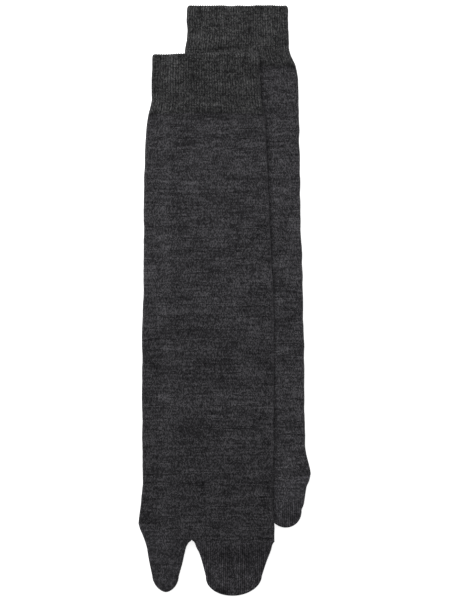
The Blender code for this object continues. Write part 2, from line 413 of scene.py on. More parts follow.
def toe_drop(sock, across):
    """How far the toe line lies below its first corner."""
    return np.interp(across, *sock.toe_line)


def fork(sock):
    """Across and down of the fork between the two toe pockets."""
    return sock.toe_line[0][1], sock.toe_start + sock.toe_line[1][1]


def wobble(sock, down, kind):
    """Small unevenness of a side fold."""
    share = smoothly(*WOBBLE_START, down) * (1 - smoothly(sock.toe_start, WOBBLE_END, down))
    return float(SIDE_WOBBLE * waves(sock, kind, down) * share)


def under_sock_left(y):
    """Where the under sock's left side fold lies, in the over sock's frame."""
    rows = UNDER_SOCK.tube
    cos, sin = math.cos(UNDER_TURN), math.sin(UNDER_TURN)
    edge_x = [UNDER_RIGHT - row[3] * cos + row[0] * sin for row in rows]
    edge_y = [UNDER_UP - row[3] * sin - row[0] * cos for row in rows]
    return np.interp(y, edge_y[::-1], edge_x[::-1])


def soft_ripple(sock, x, y):
    """Height of a sock's soft ripples, in the over sock's frame."""
    return settings().ripple / MM * (0.5 + 0.5 * waves(sock, SOFT_RIPPLES, x, y))


def lift(sock, x, y):
    """Height of a sock's underside above the surface."""
    if sock is UNDER_SOCK:
        return np.zeros(np.shape(x))
    past_side = under_sock_left(y) - SIDE_SHOULDER - x
    toes = UNDER_UP - UNDER_SOCK.four_tip.down * math.cos(UNDER_TURN)
    past_toes = toes - TOE_SHOULDER - y
    fall = (1 - smoothly(0, RAMP, past_side)) * (1 - smoothly(0, RAMP, past_toes))
    return fall * (REST_HEIGHT + CLEARANCE + soft_ripple(UNDER_SOCK, x, y))


def to_over_frame(sock, across, down):
    """X and Y in the over sock's frame of places on a sock."""
    x, y = -sock.side * across, -down
    if sock is OVER_SOCK:
        return x, y
    cos, sin = math.cos(UNDER_TURN), math.sin(UNDER_TURN)
    return UNDER_RIGHT + x * cos - y * sin, UNDER_UP + x * sin + y * cos


# One ring of points round a sock. left and right are the middles of its side folds, across. They
# face sideways at a turn of 1, and the toes at 0. outer_left and outer_right are the side folds'
# outer edges, or far off where the ring ends at the fork, and inner is the fork's edge. tip is
# where a pocket ends, and far off for the tube.
Ring = namedtuple(
    "Ring", "down lean left right half turn_left turn_right outer_left outer_right inner tip skin"
)


def tube_ring(sock, down, half, skin):
    """A ring round the cuff, leg or foot."""
    lean = float(through(sock.tube, 1, down))
    big = float(through(sock.tube, 2, down)) + wobble(sock, down, BIG_SIDE_WAVES) + FUZZ
    small = float(through(sock.tube, 3, down)) + wobble(sock, down, FOUR_SIDE_WAVES) + FUZZ
    left, right = -big + FOLD_RADIUS, small - FOLD_RADIUS
    return Ring(down, lean, left, right, half, 1, 1, -big, small, fork(sock)[0], FAR, skin)


def pocket(sock, big_side):
    """The rows and the tip of a toe pocket."""
    return (sock.big_toe, sock.big_tip) if big_side else (sock.four_toes, sock.four_tip)


def pocket_ring(sock, big_side, down, half, skin, inset):
    """A ring round a toe pocket, up to its rounded tip and on round it."""
    rows, tip = pocket(sock, big_side)
    fork_across = fork(sock)[0]
    outward = -1 if big_side else 1
    widest = sock.tube[-1][2 if big_side else 3] + FUZZ
    start = (sock.toe_start, 1, outward * widest, fork_across - outward * FOLD_RADIUS)
    full_down, _, full_outer, full_inner = rows[-1]
    if down <= full_down:
        lean, outer, inner = (float(through((start, *rows), c, down)) for c in (1, 2, 3))
        drop = sock.toe_line[1][0 if big_side else -1]
        kind = BIG_SIDE_WAVES if big_side else FOUR_SIDE_WAVES
        outer += outward * (wobble(sock, down - (1 - lean) * drop, kind) - inset)
        inner += outward * inset
        radius = FOLD_RADIUS - inset
    else:
        share = min((down - full_down) / (tip.down - inset - full_down), 1)
        middle = (full_outer + full_inner) / 2
        middle += share * (tip.middle - middle)
        reach = abs(full_outer - full_inner) / 2 - inset
        reach *= max(1 - share**tip.power, 0) ** (1 / tip.power)
        lean, outer, inner = 0, middle + outward * reach, middle - outward * reach
        radius = half
    turn = float(smoothly(0, FORK_TURN, down - sock.toe_start))
    edge = inner if turn >= 1 else fork_across + turn * (inner - fork_across)
    if big_side:
        left, right, turns, edges = outer + radius, inner - radius, (1, turn), (outer, FAR)
    else:
        left, right, turns, edges = inner + radius, outer - radius, (turn, 1), (-FAR, outer)
    if right - left < NARROWEST:
        left, right = (left + right - NARROWEST) / 2, (left + right + NARROWEST) / 2
    return Ring(down, lean, left, right, half, *turns, *edges, edge, tip.down, skin)


def evenly(low, high, step):
    """Places from low to high about a step apart."""
    return np.linspace(low, high, max(int(round((high - low) / step)), 1) + 1)


def ends_of(sock, section):
    """Where a section of the tube starts and ends, down the sock."""
    return {
        "cuff": (0, sock.cuff_end),
        "leg": (sock.cuff_end, sock.ankle),
        "foot": (sock.ankle, sock.toe_start),
    }[section]


def tube_rings(sock, section):
    """Rings of a tube with both its skins: up the inside and down the outside."""
    top, bottom = ends_of(sock, section)
    lip = []
    if section == "cuff":
        middle = FOLD_RADIUS - WALL / 2
        for i, angle in enumerate(np.linspace(math.pi, 0, LIP_STEPS + 1)):
            down = WALL / 2 * (1 - math.sin(angle))
            half = middle + WALL / 2 * math.cos(angle)
            lip.append(tube_ring(sock, down, half, "outside" if i else "inside"))
        top = WALL / 2
    downs = evenly(top, bottom, INSIDE_RING)[::-1]
    inside = [tube_ring(sock, down, FOLD_RADIUS - WALL, "inside") for down in downs]
    downs = evenly(top, bottom, RIB_RING if section == "cuff" else PLAIN_RING)
    outside = [tube_ring(sock, down, FOLD_RADIUS, "outside") for down in downs]
    return inside[:-1] + lip + outside[1:] if lip else inside + outside


def pocket_rings(sock, big_side):
    """Rings of a toe pocket: from the inside of its tip to the toe line, and down the outside."""
    rows, tip = pocket(sock, big_side)
    full = rows[-1][0]

    def skin(inset, step, steps, name):
        length = tip.down - inset - full
        radius = FOLD_RADIUS - inset
        made = [
            pocket_ring(sock, big_side, down, radius, name, inset)
            for down in evenly(sock.toe_start, full, step)
        ]
        for angle in np.linspace(0, TIP_ANGLE, steps + 1)[1:]:
            along = length * math.sin(angle)
            past = max(along - (length - radius), 0) / radius
            half = radius * math.sqrt(max(1 - past * past, THINNEST))
            made.append(pocket_ring(sock, big_side, full + along, half, name, inset))
        return made

    inside = skin(WALL, INSIDE_POCKET_RING, TIP_STEPS // 2, "inside")
    return inside[::-1] + skin(0, POCKET_RING, TIP_STEPS, "outside")


def by_hand(table, across, down):
    """Sum of the soft strokes of a table."""
    total = np.zeros(np.shape(across))
    for at, far, turn, length, width, size in table:
        cos, sin = math.cos(math.radians(turn)), math.sin(math.radians(turn))
        along = (down - far) * cos + (across - at) * sin
        beside = (across - at) * cos - (down - far) * sin
        beside = beside + STROKE_BEND * width * np.sin(along / (STROKE_SWING * length))
        total += size * np.exp(-((beside / width) ** 2) - (along / length) ** 4)
    return total


def rise(sock, ring, across, down, x, y):
    """How far the upper layer stands above its flat height."""
    to_fork = np.hypot(across - ring.inner, np.maximum(fork(sock)[1] - down, 0))
    to_side = np.minimum(across - ring.outer_left, ring.outer_right - across)
    to_edge = np.maximum(np.minimum(np.minimum(to_side, to_fork), ring.tip - down), 0)
    fine = FINE_HEIGHT * waves(sock, FINE_RIPPLES, x, y)
    height = (soft_ripple(sock, x, y) + fine + LEAST_RISE) * smoothly(*RIPPLE_FADE, to_edge)
    height += by_hand(CREASES[sock.name], across, down) * smoothly(*CREASE_FADE, to_edge)
    uneven = ROLL_MEAN + ROLL_VARIES * waves(sock, ROLL_WAVES, down, across)
    height += settings().edge_roll / MM * uneven * bell(to_edge - ROLL_INSET, ROLL_WIDTH)
    # The cuff holds the leg in, so a trough runs round under it with small gathers below.
    below = down - sock.cuff_end - TROUGH_BELOW
    height -= TROUGH_DEPTH * bell(below, TROUGH_WIDTH) * smoothly(*TROUGH_FADE, to_edge)
    gathers = GATHER_HEIGHT * waves(sock, CUFF_GATHERS, across)
    fading = np.exp(-np.maximum(below, 0) / GATHER_LENGTH)
    height += gathers * smoothly(*GATHER_START, below) * fading
    # The cuff's mouth gapes a little.
    mouth = MOUTH_HEIGHT + MOUTH_VARIES * waves(sock, MOUTH_WAVES, across)
    height += np.maximum(mouth, 0) * np.exp(-np.maximum(down, 0) / MOUTH_LENGTH)
    # The linked seam that closes a toe, with small gathers beside it.
    if ring.tip < FAR:
        seam = ring.tip - SEAM_INSET - down
        width = max((ring.right - ring.left) / 2, 1)
        middle = (ring.right + ring.left) / 2
        reach = 1 - smoothly(*SEAM_END, np.abs(across - middle) / width)
        height += SEAM_HEIGHT * bell(seam, SEAM_WIDTH) * reach
        gathers = GATHER_HEIGHT * waves(sock, SEAM_GATHERS, across)
        height += gathers * bell(seam, SEAM_GATHER_WIDTH) * reach
    return np.maximum(height, LOWEST)


def rib_share(sock, down):
    """1 on the cuff and 0 on the plain knit."""
    return 1 - smoothly(sock.cuff_end - RIB_END, sock.cuff_end, down)


# The points round a ring. For each: its wale on the upper and on the lower layer, its course, its
# place down, and how light it is: painted light and shade with the yarn's own tone.
Round = namedtuple("Round", "points wale wale_below course down tone")


def ring_points(sock, ring, columns, fold_steps):
    """Points up a ring's left fold, along the upper layer, down the right fold and back below."""
    fork_across = np.clip(fork(sock)[0], ring.left, ring.right)
    big = np.linspace(ring.left, fork_across, columns[0] + 1)
    four = np.linspace(fork_across, ring.right, columns[1] + 1)
    panel = np.concatenate([big, four[1:]])[1:-1]
    angle, flat = np.linspace(0, math.pi, fold_steps + 1), np.zeros(len(panel))
    middle = np.concatenate([0 * angle + ring.left, panel, 0 * angle + ring.right, panel[::-1]])
    out = np.concatenate([-np.sin(angle), flat, np.sin(angle), flat])
    up = np.concatenate([-np.cos(angle), flat + 1, np.cos(angle), flat - 1])
    turn = np.where(out < 0, ring.turn_left, ring.turn_right)
    sideways = np.sin(turn * math.pi / 2) * out
    toewards = np.cos(turn * math.pi / 2) * np.abs(out)

    # Wales lie evenly across the tube, and run straight on down the pockets.
    if ring.tip < FAR:
        low, high, wales = -sock.tube[-1][2], sock.tube[-1][3], TOE_WALES
    else:
        low, high, wales = ring.outer_left, ring.outer_right, WALES
    pitch = (high - low) / wales
    beyond = np.concatenate([angle - math.pi, flat, angle, flat]) * FOLD_RADIUS
    wale = (middle - low + beyond) / pitch
    wale_below = BELOW_WALES - (middle - low) / pitch

    half = ring.half
    if ring.skin == "outside":
        depth = settings().rib_depth / MM * rib_share(sock, ring.down)
        valley = 0.5 - 0.5 * np.cos(math.pi * np.where(up <= -1, wale_below, wale))
        half = half - depth * valley
    across = middle + sideways * half
    pull = FORK_PULL * bell(across - fork(sock)[0], FORK_WIDTH) * ring.lean**4
    down = ring.down + ring.lean * (toe_drop(sock, across) - pull) + toewards * half

    scallop = RIB_SCALLOP * np.cos(math.pi * wale)
    scallop = scallop + TOP_WOBBLE * waves(sock, TOP_EDGE_WAVES, across)
    tilt = sock.tilt * max(1 - ring.down / sock.cuff_end, 0) * across / (high - low)
    mouth = scallop + sock.mouth[0] + sock.mouth[1] * across
    top_edge = 1 - smoothly(0, TOP_EDGE, ring.down)
    x, y = to_over_frame(sock, across, down - tilt - mouth * top_edge)
    height = rise(sock, ring, across, down, x, y) * (1 + up) / 2
    z = FOLD_RADIUS + up * half + height + lift(sock, x, y)
    points = np.stack([x + PLACE[0], y + PLACE[1], z], 1) * MM
    # Painted light and shade, with the yarn's tone, from the strokes: less of it on the lower
    # layer.
    shares = np.where(up < -0.5, PAINTED_LIGHT_AND_TONE_BELOW, 1)
    tone = 1 - by_hand(PAINTED_LIGHT_AND_TONE_STROKES[sock.name], across, down) * shares
    return Round(points, wale, wale_below, down / COURSE, down, tone)


def upright_share(sock, section, down):
    """How far the shade of the yarn runs along the wales, and not along the courses."""
    if section == "cuff":
        return CUFF_UPRIGHT * rib_share(sock, down)
    share, low, high = UPRIGHT[sock.name].get(section, (0, 0, 1))
    return share * smoothly(low, high, down)


def bake_map(rings, columns, fold_steps, closed):
    """A function that gives a place on the bake's map: for a layer, a column and a ring.

    The upper layer with its folds and the lower layer are two islands, one above the other for a
    wide section and side by side for a long one. The inside gets little of the map.
    """
    weights = []
    for ring, following in zip(rings, rings[1:] + rings[:1]):
        step = abs(following.down - ring.down) + abs(following.half - ring.half)
        both_out = ring.skin == following.skin == "outside"
        weights.append(step if both_out else INSIDE_SHARE * step + INSIDE_LEAST)
    along = np.concatenate([[0], np.cumsum(weights)])
    along = along / along[-1 if closed else -2]

    wide = rings[0].right - rings[0].left
    downs = [ring.down for ring in rings]
    stacked = wide > STACKED_FROM * (max(downs) - min(downs))
    fold = [math.pi * FOLD_RADIUS / fold_steps] * fold_steps
    panel = [max(wide, NARROWEST_PANEL) / sum(columns)] * sum(columns)
    upper = np.concatenate([[0], np.cumsum(fold + panel + fold)])
    lower = np.concatenate([[0], np.cumsum(panel)])
    width, height = 1 - 2 * SIDE_MARGIN, 1 - 2 * END_MARGIN
    if stacked:
        height = (height - GUTTER) / 2

    def place(below, column, ring):
        across = lower[column] if below else upper[column]
        u, v = SIDE_MARGIN, END_MARGIN + height * along[ring]
        if stacked:
            u += width * across / (lower[-1] if below else upper[-1])
            v += below * (height + GUTTER)
        else:
            u += (below - 0.5) * SIDE_MARGIN
            u += width * (below * upper[-1] + across) / (upper[-1] + lower[-1])
        return u, v

    return place


Cloth = namedtuple("Cloth", "points faces knit bake upright tone smooth")


def make_cloth(sock, section):
    """The rings of a section, joined to a closed piece with both its skins."""
    closed = section in TUBES
    rings = tube_rings(sock, section) if closed else pocket_rings(sock, section == "big_toe")
    fold_steps = RIB_FOLD_STEPS if section == "cuff" else FOLD_STEPS
    columns = {
        "cuff": RIB_COLUMNS,
        "big_toe": (BIG_COLUMNS, 0),
        "four_toes": (0, FOUR_COLUMNS),
    }.get(section, (BIG_COLUMNS, FOUR_COLUMNS))
    rounds = [ring_points(sock, ring, columns, fold_steps) for ring in rings]
    place = bake_map(rings, columns, fold_steps, closed)
    upper_count = 2 * fold_steps + sum(columns)
    count = upper_count + sum(columns)
    faces, knit, bake, smooth = [], [], [], []
    order = -1 if sock.side > 0 else 1  # one sock is the mirror image of the other

    def add(corners, knits, bakes, is_smooth):
        faces.append(corners[::order])
        knit.extend(knits[::order])
        bake.extend(bakes[::order])
        smooth.append(is_smooth)

    for i in range(len(rings) if closed else len(rings) - 1):
        k = (i + 1) % len(rings)
        at_lip = section == "cuff" and k
        rim = rings[i].skin != rings[k].skin and not at_lip
        a, b = rounds[i], rounds[k]
        for j in range(count):
            n = (j + 1) % count
            below = j >= upper_count
            at = j - upper_count if below else j
            wale_a, wale_b = (a.wale_below, b.wale_below) if below else (a.wale, b.wale)
            corners = (i * count + j, k * count + j, k * count + n, i * count + n)
            knits = [(wale_a[j], a.course[j]), (wale_b[j], b.course[j])]
            knits += [(wale_b[n], b.course[n]), (wale_a[n], a.course[n])]
            sides = ((at, i), (at, i + 1), (at + 1, i + 1), (at + 1, i))
            add(corners, knits, [place(below, *side) for side in sides], not rim)

    if not closed:
        # The ends are closed by strips from the upper layer to the lower one.
        strips = [
            (fold_steps + c, fold_steps + c + 1, -(c + 1) % count, -c % count)
            for c in range(sum(columns))
        ]
        strips.append(tuple(range(fold_steps + 1)))
        strips.append(tuple(range(upper_count - fold_steps, upper_count + 1)))
        for i, direction in ((0, 1), (len(rings) - 1, -1)):
            end = rounds[i]
            for strip in strips:
                ids = strip[::direction]
                corners = tuple(i * count + j for j in ids)
                knits = [(end.wale[j], end.course[j]) for j in ids]
                spot = place(False, min(ids[0], upper_count), i)
                add(corners, knits, [spot] * len(ids), True)

    points = np.concatenate([each.points for each in rounds])
    upright = np.concatenate([upright_share(sock, section, each.down) for each in rounds])
    tone = np.concatenate([each.tone for each in rounds])
    return Cloth(points, faces, knit, bake, upright, tone, smooth)


def smooth_normals(cloths):
    """Normals over all sections of a sock at once, so that the light runs on across their joins."""
    points = np.concatenate([cloth.points for cloth in cloths])
    keys = np.round(points / SAME_PLACE).astype(np.int64)
    _, welded = np.unique(keys, axis=0, return_inverse=True)
    welded = welded.ravel()
    total = np.zeros((welded.max() + 1, 3))
    ends = np.cumsum([len(cloth.points) for cloth in cloths])
    for cloth, end in zip(cloths, ends):
        groups = {}
        for face, smooth in zip(cloth.faces, cloth.smooth):
            if smooth:
                groups.setdefault(len(face), []).append(face)
        for faces in groups.values():
            ids = np.array(faces) + end - len(cloth.points)
            normal = np.cross(points[ids], np.roll(points[ids], -1, axis=1)).sum(1)
            for corner in ids.T:
                np.add.at(total, welded[corner], normal)
    normals = total[welded]
    normals /= np.maximum(np.linalg.norm(normals, axis=1, keepdims=True), SMALLEST)
    return np.split(normals, ends[:-1])


def cut_of(sock, section):
    """Width all round, length and area of a section's cut, in metres."""
    if section in TUBES:
        low, high = ends_of(sock, section)
        downs = evenly(low, high, 1.0)
        widths = through(sock.tube, 2, downs) + through(sock.tube, 3, downs)
        length, area = high - low, np.mean(widths) * (high - low)
        if section == "foot":
            drop = toe_drop(sock, np.linspace(*sock.toe_line[0][::2], 50))
            length += drop.max()
            area += widths[-1] * drop.mean()
    else:
        rings = [r for r in pocket_rings(sock, section == "big_toe") if r.skin == "outside"]
        downs = np.array([r.down + r.lean * toe_drop(sock, (r.left + r.right) / 2) for r in rings])
        widths = np.array([r.right - r.left for r in rings]) + 2 * FOLD_RADIUS
        length = downs[-1] - downs[0]
        area = np.sum((widths[1:] + widths[:-1]) / 2 * np.diff(downs))
    return 2 * widths.max() * MM, length * MM, 2 * area * MM * MM


def add_piece(sock, section, cloth, normals, material):
    """A section's piece of cloth, standing for its solid in the frame."""
    name = f"{sock.name}_{section}_knit"
    mesh = bpy.data.meshes.new(name)
    mesh.from_pydata([tuple(p) for p in cloth.points], [], cloth.faces)
    for label, values in (("OFBake", cloth.bake), ("knit", cloth.knit)):
        layer = mesh.uv_layers.new(name=label)
        layer.data.foreach_set("uv", np.array(values, np.float32).ravel())
    mesh.uv_layers.active = mesh.uv_layers["OFBake"]
    # The upright share, and the painted light and shade with the yarn's tone, go on as point
    # attributes.
    for label, values in (("upright", cloth.upright), ("tone", cloth.tone)):
        layer = mesh.attributes.new(label, "FLOAT", "POINT")
        layer.data.foreach_set("value", values.astype(np.float32))
    mesh.materials.append(material)
    mesh.polygons.foreach_set("use_smooth", [True] * len(mesh.polygons))
    mesh.normals_split_custom_set_from_vertices([tuple(n) for n in normals])
    mesh.validate(clean_customdata=False)
    piece = bpy.data.objects.new(name, mesh)
    bpy.context.scene.collection.objects.link(piece)
    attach(piece, "root")
    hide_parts(f"{sock.name}_{section}")
    width, length, area = cut_of(sock, section)


# --- Yarn ---

# Clouds of shade: scale along a course and along a wale, a place of their own in the noise, detail
# and roughness. The drift runs along the courses and the column along the wales.
Cloud = namedtuple("Cloud", "along_course along_wale seat detail roughness")
DRIFT = Cloud(0.06, 7.31, 0.5, 3.0, 0.66)
COLUMN = Cloud(6.13, 0.14, 21.5, 1.0, 0.5)
RIB_COLUMN = Cloud(6.13, 0.24, 21.5, 1.0, 0.5)
FLECK = Cloud(1.6, 1.1, 33.5, 2.0, 0.6)
PATCH = Cloud(0.07, 0.07, 47.5, 1.0, 0.5)
MARBLE = Cloud(0.13, 0.25, 71.5, 2.0, 0.5)
FIBRE = Cloud(3.1, 4.3, 60.5, 2.0, 0.6)
NOISE_GAIN = 3.2  # brings the noise texture's values to about 1 on each side of 0

# How much each gives to the shade of the yarn.
DRIFT_SHARE, COLUMN_ASIDE, COLUMN_SHARE = 0.95, 0.15, 0.55
FLECK_SHARE, STRAND_SHARE, MARBLE_SHARE, PATCH_SHARE = 0.5, 0.8, 0.16, 0.25
RIB_UPRIGHT = 0.6

# The stitch: how far its sides lean over, in courses, how round a loop is, and its heights.
STITCH_LEAN, LOOP_ROUND, LOOP_HEIGHT, RIDGE_HEIGHT, FIBRE_HEIGHT = 0.75, 0.6, 0.7, 0.3, 0.16
# Painted shade of a stitch: how light its valleys are, how much lighter its ridges (a painted
# highlight), and how much painted shade sets off the ribs and wales.
VALLEY_LIGHT, RIDGE_LIGHT, RIB_GROOVE_SHADE, PLAIN_GROOVE_SHADE = 0.72, 0.42, 0.5, -0.45
ROUGHNESS, ROUGHNESS_VARIES, SPECULAR = 0.9, 0.05, 0.04
SHEEN_ROUGHNESS, SHEEN_TINT = 0.35, (0.75, 0.75, 0.8, 1)
NODE_COLUMNS, NODE_ROWS, NODE_WIDTH, NODE_HEIGHT = 12, 6, 220, 180  # as the editor shows them


class Recipe:
    """Puts nodes into a material and joins them."""

    def __init__(self, name):
        self.material = bpy.data.materials.new(name)
        self.material.use_nodes = True
        self.tree = self.material.node_tree
        self.shader = self.tree.nodes["Principled BSDF"]
        self.count = 0

    def node(self, kind, **values):
        made = self.tree.nodes.new(kind)
        column, row = divmod(self.count, NODE_ROWS)
        made.location = (NODE_WIDTH * (column - NODE_COLUMNS), -NODE_HEIGHT * row)
        self.count += 1
        for key, value in values.items():
            setattr(made, key, value)
        return made

    def feed(self, socket, value):
        if isinstance(value, bpy.types.NodeSocket):
            self.tree.links.new(value, socket)
        elif value is not None:
            socket.default_value = value

    def maths(self, operation, a, b=None, c=None):
        made = self.node("ShaderNodeMath", operation=operation)
        for socket, value in zip(made.inputs, (a, b, c)):
            self.feed(socket, value)
        return made.outputs[0]

    def times(self, a, b):
        return self.maths("MULTIPLY", a, b)

    def add_times(self, a, b, c):
        """a times b, and c more."""
        return self.maths("MULTIPLY_ADD", a, b, c)

    def spot(self, x, y, z=0.0):
        made = self.node("ShaderNodeCombineXYZ")
        for socket, value in zip(made.inputs, (x, y, z)):
            self.feed(socket, value)
        return made.outputs[0]

    def noise(self, place, detail=0.0, roughness=0.5):
        """Cloudy values about 0, nearly all within 1 of it."""
        made = self.node("ShaderNodeTexNoise", noise_dimensions="3D")
        self.feed(made.inputs["Vector"], place)
        made.inputs["Scale"].default_value = 1.0
        made.inputs["Detail"].default_value = detail
        made.inputs["Roughness"].default_value = roughness
        return self.times(self.maths("SUBTRACT", made.outputs[0], 0.5), NOISE_GAIN)

    def cloud(self, cloud, wale, course):
        """Cloudy values over the knit."""
        x, y = self.times(wale, cloud.along_course), self.times(course, cloud.along_wale)
        return self.noise(self.spot(x, y, cloud.seat), cloud.detail, cloud.roughness)

    def surface(self, values):
        """Sets or joins the shader's own sockets."""
        for name, value in values.items():
            self.feed(self.shader.inputs[name], value)

    def mix(self, share, a, b):
        made = self.node("ShaderNodeMix", data_type="FLOAT")
        for socket, value in zip(made.inputs[:4], (share, None, a, b)):
            self.feed(socket, value)
        return made.outputs[0]


def knit_material(name, finish):
    """Melange yarn knitted plain or in ribs, drawn from each point's wale and course."""
    values = settings()
    make = Recipe(name)
    knit = make.node("ShaderNodeUVMap", uv_map="knit")
    parts = make.node("ShaderNodeSeparateXYZ")
    make.feed(parts.inputs[0], knit.outputs[0])
    wale, course = parts.outputs[0], parts.outputs[1]
    upright = make.node("ShaderNodeAttribute", attribute_name="upright").outputs["Fac"]
    # Painted light and shade, with the yarn's tone, of each point.
    tone = make.node("ShaderNodeAttribute", attribute_name="tone").outputs["Fac"]

    # A stitch is a V of two strands: beside is 0 in its middle and 1 at its sides.
    beside = make.maths("ABSOLUTE", make.maths("SUBTRACT", make.maths("FRACT", wale), 0.5))
    beside = make.times(beside, 2.0)
    leaning = make.maths("SUBTRACT", course, make.times(beside, STITCH_LEAN))
    this_course, this_wale = make.maths("FLOOR", leaning), make.maths("FLOOR", wale)
    ridge = make.maths("SINE", make.times(beside, math.pi))
    loop = make.maths("SINE", make.times(make.maths("FRACT", leaning), math.pi))
    loop = make.times(ridge, make.maths("POWER", loop, LOOP_ROUND))
    stitch = make.add_times(loop, LOOP_HEIGHT, make.times(ridge, RIDGE_HEIGHT))

    # The yarn's shade drifts along a course and differs from one course to the next. Each of a
    # stitch's two strands has a shade of its own too.
    drift = make.cloud(DRIFT, wale, this_course)
    column = make.cloud(RIB_COLUMN if finish.rib else COLUMN, this_wale, course)
    strand = make.maths("FLOOR", make.times(wale, 2.0))
    chance = make.node("ShaderNodeTexWhiteNoise", noise_dimensions="2D")
    make.feed(chance.inputs["Vector"], make.spot(strand, this_course))
    strand_shade = make.add_times(chance.outputs[0], 2.0, -1.0)
    along_course = make.add_times(drift, DRIFT_SHARE, make.times(column, COLUMN_ASIDE))
    share = make.times(upright, RIB_UPRIGHT if finish.rib else 1.0)
    shade = make.mix(share, along_course, make.times(column, COLUMN_SHARE))
    shade = make.add_times(make.cloud(FLECK, wale, course), FLECK_SHARE, shade)
    shade = make.add_times(strand_shade, STRAND_SHARE, shade)
    shade = make.add_times(make.cloud(MARBLE, wale, course), MARBLE_SHARE, shade)
    shade = make.add_times(make.cloud(PATCH, wale, course), PATCH_SHARE, shade)
    shade = make.add_times(shade, values.melange * finish.contrast, 0.5)
    ramp = make.node("ShaderNodeValToRGB")
    make.feed(ramp.inputs[0], shade)
    ramp.color_ramp.elements.new(0.5)
    colours = (values.dark_yarn, values.yarn, values.light_yarn)
    for stop, place, colour in zip(ramp.color_ramp.elements, (0.0, 0.5, 1.0), colours):
        stop.position = place
        stop.color = (*(c * t * finish.level for c, t in zip(colour, finish.tint)), 1)

    # Painted shade: the valleys between strands, ribs and wales are darkened in the colour, and the
    # strokes' painted light and shade, with the yarn's tone, is laid on top.
    light = make.add_times(stitch, RIDGE_LIGHT, VALLEY_LIGHT)
    groove_shade = make.maths("COSINE", make.times(wale, math.pi if finish.rib else 2 * math.pi))
    groove_shade = make.times(groove_shade, upright)
    groove_shade = make.add_times(groove_shade, RIB_GROOVE_SHADE if finish.rib else PLAIN_GROOVE_SHADE, 1.0)
    light = make.times(make.times(light, groove_shade), tone)
    shaded = make.node("ShaderNodeVectorMath", operation="SCALE")
    make.feed(shaded.inputs[0], ramp.outputs[0])
    make.feed(shaded.inputs["Scale"], light)

    fibre = make.cloud(FIBRE, wale, course)
    bump = make.node("ShaderNodeBump")
    bump.inputs["Strength"].default_value = 1.0
    bump.inputs["Distance"].default_value = values.stitch_depth
    make.feed(bump.inputs["Height"], make.add_times(fibre, FIBRE_HEIGHT, stitch))
    make.surface(
        {
            "Base Color": shaded.outputs[0],
            "Roughness": make.add_times(fibre, ROUGHNESS_VARIES, ROUGHNESS),
            "Normal": bump.outputs[0],
            "Specular IOR Level": SPECULAR,
            "Sheen Weight": values.sheen,
            "Sheen Roughness": SHEEN_ROUGHNESS,
            "Sheen Tint": SHEEN_TINT,
        }
    )
    return make.material


# The yarn of each material slot: tint, level and contrast of its shades, and whether it is ribbed.
Finish = namedtuple("Finish", "tint level contrast rib")
FINISHES = {
    "cuff_rib": Finish((1.0, 1.0, 0.99), 0.88, 1.28, True),
    "plain_knit": Finish((1.013, 0.987, 1.04), 1.0, 1.01, False),
    "big_toe_knit": Finish((1.01, 0.985, 1.05), 1.05, 0.8, False),
    "four_toes_knit": Finish((1.015, 0.98, 1.045), 1.04, 0.86, False),
}


def finish_material(slot):
    """The yarn of a material slot, made once."""
    name = f"{slot}_yarn"
    return bpy.data.materials.get(name) or knit_material(name, FINISHES[slot])


def add_sock(sock):
    """All sections of a sock."""
    cloths = [make_cloth(sock, section) for section in SECTIONS]
    for section, cloth, normals in zip(SECTIONS, cloths, smooth_normals(cloths)):
        add_piece(sock, section, cloth, normals, finish_material(SECTIONS[section]))


# --- Add-on ---


class KnitSocksSettings(bpy.types.PropertyGroup):
    """Sizes and colours of the knit."""

    rib_depth: bpy.props.FloatProperty(
        name="Rib depth",
        description="How far the cuff's valleys lie below its ribs",
        default=0.00035, min=0, max=0.0008, precision=5, unit="LENGTH",
    )
    ripple: bpy.props.FloatProperty(
        name="Ripple height",
        description="Height of the soft ripples of the upper layer",
        default=0.0008, min=0, max=0.003, precision=5, unit="LENGTH",
    )
    edge_roll: bpy.props.FloatProperty(
        name="Edge roll",
        description="How far the cloth stands up beside its side folds",
        default=0.00035, min=0, max=0.002, precision=5, unit="LENGTH",
    )
    stitch_depth: bpy.props.FloatProperty(
        name="Stitch depth",
        description="Depth of the stitches' relief",
        default=0.0003, min=0, max=0.001, precision=5, unit="LENGTH",
    )
    dark_yarn: bpy.props.FloatVectorProperty(
        name="Dark fibres",
        description="Colour of the yarn's darkest stretches",
        default=(0.008, 0.008, 0.0084), min=0, max=1, subtype="COLOR",
    )
    yarn: bpy.props.FloatVectorProperty(
        name="Yarn",
        description="Colour of the yarn at a middle stretch",
        default=(0.04, 0.04, 0.041), min=0, max=1, subtype="COLOR",
    )
    light_yarn: bpy.props.FloatVectorProperty(
        name="Light fibres",
        description="Colour of the yarn's lightest stretches",
        default=(0.13, 0.13, 0.133), min=0, max=1, subtype="COLOR",
    )
    melange: bpy.props.FloatProperty(
        name="Melange",
        description="How strongly the yarn's shade varies",
        default=0.4, min=0, max=1, subtype="FACTOR",
    )
    sheen: bpy.props.FloatProperty(
        name="Sheen",
        description="Soft light from the yarn's fine fibres",
        default=0.15, min=0, max=1, subtype="FACTOR",
    )


